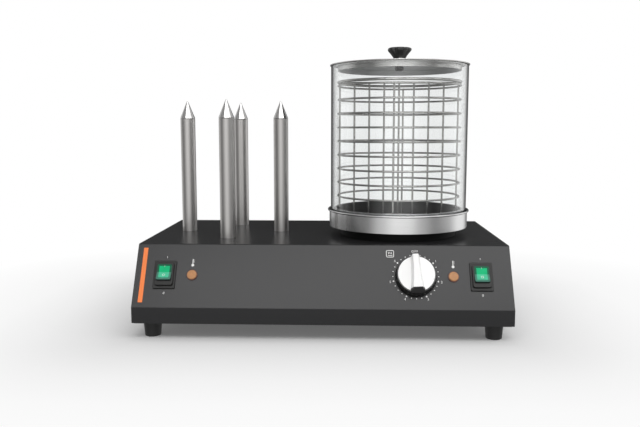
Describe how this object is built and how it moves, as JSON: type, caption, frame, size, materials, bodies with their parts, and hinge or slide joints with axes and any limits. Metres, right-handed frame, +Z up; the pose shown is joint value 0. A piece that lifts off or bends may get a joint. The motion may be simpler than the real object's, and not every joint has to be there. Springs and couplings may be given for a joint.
{
  "type": "hot dog toaster",
  "caption": "Table top hot dog toaster: grey sheet metal base with a sloped panel, heated bun spikes and a glass steamer with a wire basket and lid.",
  "frame": {"origin": "on the floor, in the middle of the overall width and depth", "axes": "+X to the right seen from the panel, +Y to the back, +Z up"},
  "size_m": [0.5, 0.3214, 0.3961],
  "materials": {
    "housing_paint": "satin",
    "base_sheet": "satin",
    "foot_rubber": "matt",
    "satin_steel": "satin",
    "polished_steel": "polished",
    "wire_chrome": "polished",
    "cast_plate": "satin",
    "black_plastic": "satin",
    "glass": "clear",
    "stripe_film": "gloss",
    "green_lens": "gloss",
    "lamp_collar": "gloss",
    "amber_lens": "gloss",
    "dial_white": "satin"
  },
  "bodies": {
    "casing": {"housing": "housing_paint", "base_plate": "base_sheet", "foot_front_left": "foot_rubber", "foot_front_right": "foot_rubber", "foot_rear_left": "foot_rubber", "foot_rear_right": "foot_rubber", "spike_tube_left": "satin_steel", "spike_tip_left": "polished_steel", "spike_heater_left": "satin_steel", "spike_tube_front": "satin_steel", "spike_tip_front": "polished_steel", "spike_heater_front": "satin_steel", "spike_tube_rear": "satin_steel", "spike_tip_rear": "polished_steel", "spike_heater_rear": "satin_steel", "spike_tube_right": "satin_steel", "spike_tip_right": "polished_steel", "spike_heater_right": "satin_steel", "spike_nuts": "satin_steel", "steamer_plinth": "black_plastic", "heating_plate": "cast_plate", "element_terminals": "satin_steel", "steam_tray": "polished_steel", "water_pan": "polished_steel", "panel_stripe": "stripe_film", "switch_case_left": "black_plastic", "switch_case_right": "black_plastic", "lamp_body_left": "lamp_collar", "lamp_lens_left": "amber_lens", "lamp_body_right": "lamp_collar", "lamp_lens_right": "amber_lens", "heat_regulator": "black_plastic", "cable_gland": "black_plastic", "gland_lock_nut": "black_plastic", "terminal_block": "black_plastic"},
    "glass": {"glass_cylinder": "glass"},
    "lid": {"lid_cap": "polished_steel", "lid_ferrule": "polished_steel", "lid_knob": "black_plastic", "lid_screw": "polished_steel"},
    "basket": {"basket_cage": "wire_chrome", "basket_divider": "wire_chrome"},
    "dial": {"dial_knob": "black_plastic", "dial_face": "dial_white", "dial_shaft": "polished_steel"},
    "left_rocker": {"rocker_left": "black_plastic", "rocker_lens_left": "green_lens"},
    "right_rocker": {"rocker_right": "black_plastic", "rocker_lens_right": "green_lens"}
  },
  "joints": [
    {"name": "glass_lift", "type": "slide", "parent": "casing", "child": "glass", "axis": [0, 0, 1], "range_m": [0, 0.24]},
    {"name": "lid_lift", "type": "slide", "parent": "glass", "child": "lid", "axis": [0, 0, 1], "range_m": [0, 0.27]},
    {"name": "basket_lift", "type": "slide", "parent": "casing", "child": "basket", "axis": [0, 0, 1], "range_m": [0, 0.243]},
    {"name": "dial_turn", "type": "hinge", "parent": "casing", "child": "dial", "pos_m": [0.12385, -0.13436, 0.08378], "axis": [0, -0.8631, 0.505], "range_deg": [-308.57, 0]},
    {"name": "left_rocker_tilt", "type": "hinge", "parent": "casing", "child": "left_rocker", "pos_m": [-0.2097, -0.12837, 0.08016], "axis": [1, 0, 0], "range_deg": [0, 18]},
    {"name": "right_rocker_tilt", "type": "hinge", "parent": "casing", "child": "right_rocker", "pos_m": [0.2097, -0.12837, 0.08016], "axis": [1, 0, 0], "range_deg": [0, 18]}
  ],
  "couplings": [
    {"joint": "basket_lift", "follows": "lid_lift", "ratio": 0.9}
  ]
}
